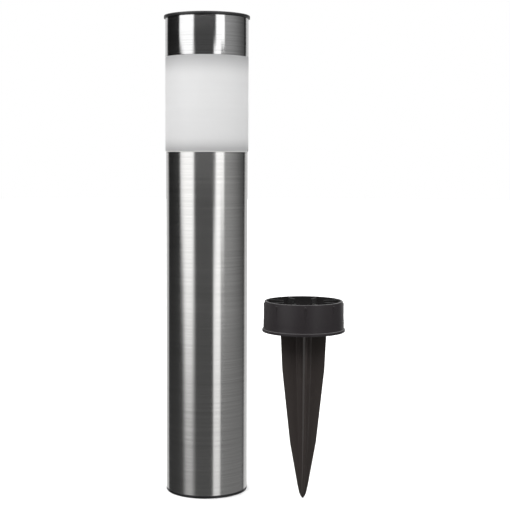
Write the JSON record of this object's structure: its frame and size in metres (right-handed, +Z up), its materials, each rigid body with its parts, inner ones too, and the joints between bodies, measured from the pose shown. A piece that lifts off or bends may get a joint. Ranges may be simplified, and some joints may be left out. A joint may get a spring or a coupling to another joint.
{
  "type": "solar garden light",
  "caption": "Upright solar path light: steel tube, frosted diffuser, solar head with cell and lamp inside, and a separate ground spike with a cup that plugs into the tube.",
  "frame": {"origin": "centre of the bottom ring's underside, where the light stands on the ground", "axes": "+Z up along the tube; the loose ground spike stands on its point towards +X and a little towards -Y"},
  "size_m": [0.1299, 0.0873, 0.3445],
  "materials": {
    "brushed_steel": "brushed round the tube",
    "rim_black": "fine moulded texture",
    "ring_black": "smooth moulded",
    "housing_black": "fine moulded texture",
    "frosted_white": "frosted, translucent",
    "collar_white": "satin moulded",
    "reflector_silver": "pressed, bright",
    "seal_rubber": "matt",
    "window_clear": "clear, polished",
    "panel_white": "coated board",
    "solar_blue": "crystalline under resin",
    "cell_wrap": "printed shrink sleeve without marks",
    "contact_nickel": "nickel plated spring strip",
    "screw_steel": "zinc plated",
    "lamp_clear": "clear cast resin",
    "tinned_wire": "tinned",
    "board_green": "solder mask",
    "chip_black": "moulded",
    "ferrite_dark": "ferrite drum with winding",
    "switch_steel": "folded plated case",
    "knob_black": "moulded",
    "wire_red_black": "insulation",
    "cup_black": "moulded",
    "blade_black": "moulded, recycled compound"
  },
  "bodies": {
    "stand": {"body_tube": "brushed_steel", "bottom_ring": "ring_black", "diffuser_collar": "collar_white", "reflector_disc": "reflector_silver"},
    "lantern": {"diffuser": "frosted_white"},
    "head": {"head_sleeve": "brushed_steel", "head_housing": "housing_black", "head_seal": "seal_rubber", "top_rim": "rim_black", "panel_window": "window_clear", "panel_board": "panel_white", "solar_cells": "solar_blue", "positive_contact": "contact_nickel", "negative_spring": "contact_nickel", "led_lamp": "lamp_clear", "led_leads": "tinned_wire", "circuit_board": "board_green", "board_screws": "screw_steel", "control_chip": "chip_black", "choke_coil": "ferrite_dark", "switch_body": "switch_steel", "panel_wires": "wire_red_black", "battery_wires": "wire_red_black"},
    "switch_knob": {"switch_slider": "knob_black"},
    "cell_cover": {"battery_cover": "housing_black", "cover_screws": "screw_steel"},
    "cell": {"battery_cell": "cell_wrap"},
    "spike": {"spike_cup": "cup_black", "spike_blade": "blade_black"}
  },
  "joints": [
    {"name": "lantern_lift", "type": "slide", "parent": "stand", "child": "lantern", "axis": [0, 0, 1], "range_m": [0, 0.06]},
    {"name": "head_lift", "type": "slide", "parent": "lantern", "child": "head", "axis": [0, 0, 1], "range_m": [0, 0.08]},
    {"name": "switch_slide", "type": "slide", "parent": "head", "child": "switch_knob", "axis": [1, 0, 0], "range_m": [0, 0.003]},
    {"name": "cover_release", "type": "slide", "parent": "head", "child": "cell_cover", "axis": [0, 0, -1], "range_m": [0, 0.05]},
    {"name": "cell_release", "type": "slide", "parent": "head", "child": "cell", "axis": [0, 0, -1], "range_m": [0, 0.03]},
    {"name": "spike_lift", "type": "slide", "parent": "stand", "child": "spike", "axis": [0, 0, 1], "range_m": [0, 0.15]}
  ],
  "couplings": [
    {"joint": "cell_release", "follows": "cover_release", "ratio": 0.6}
  ]
}
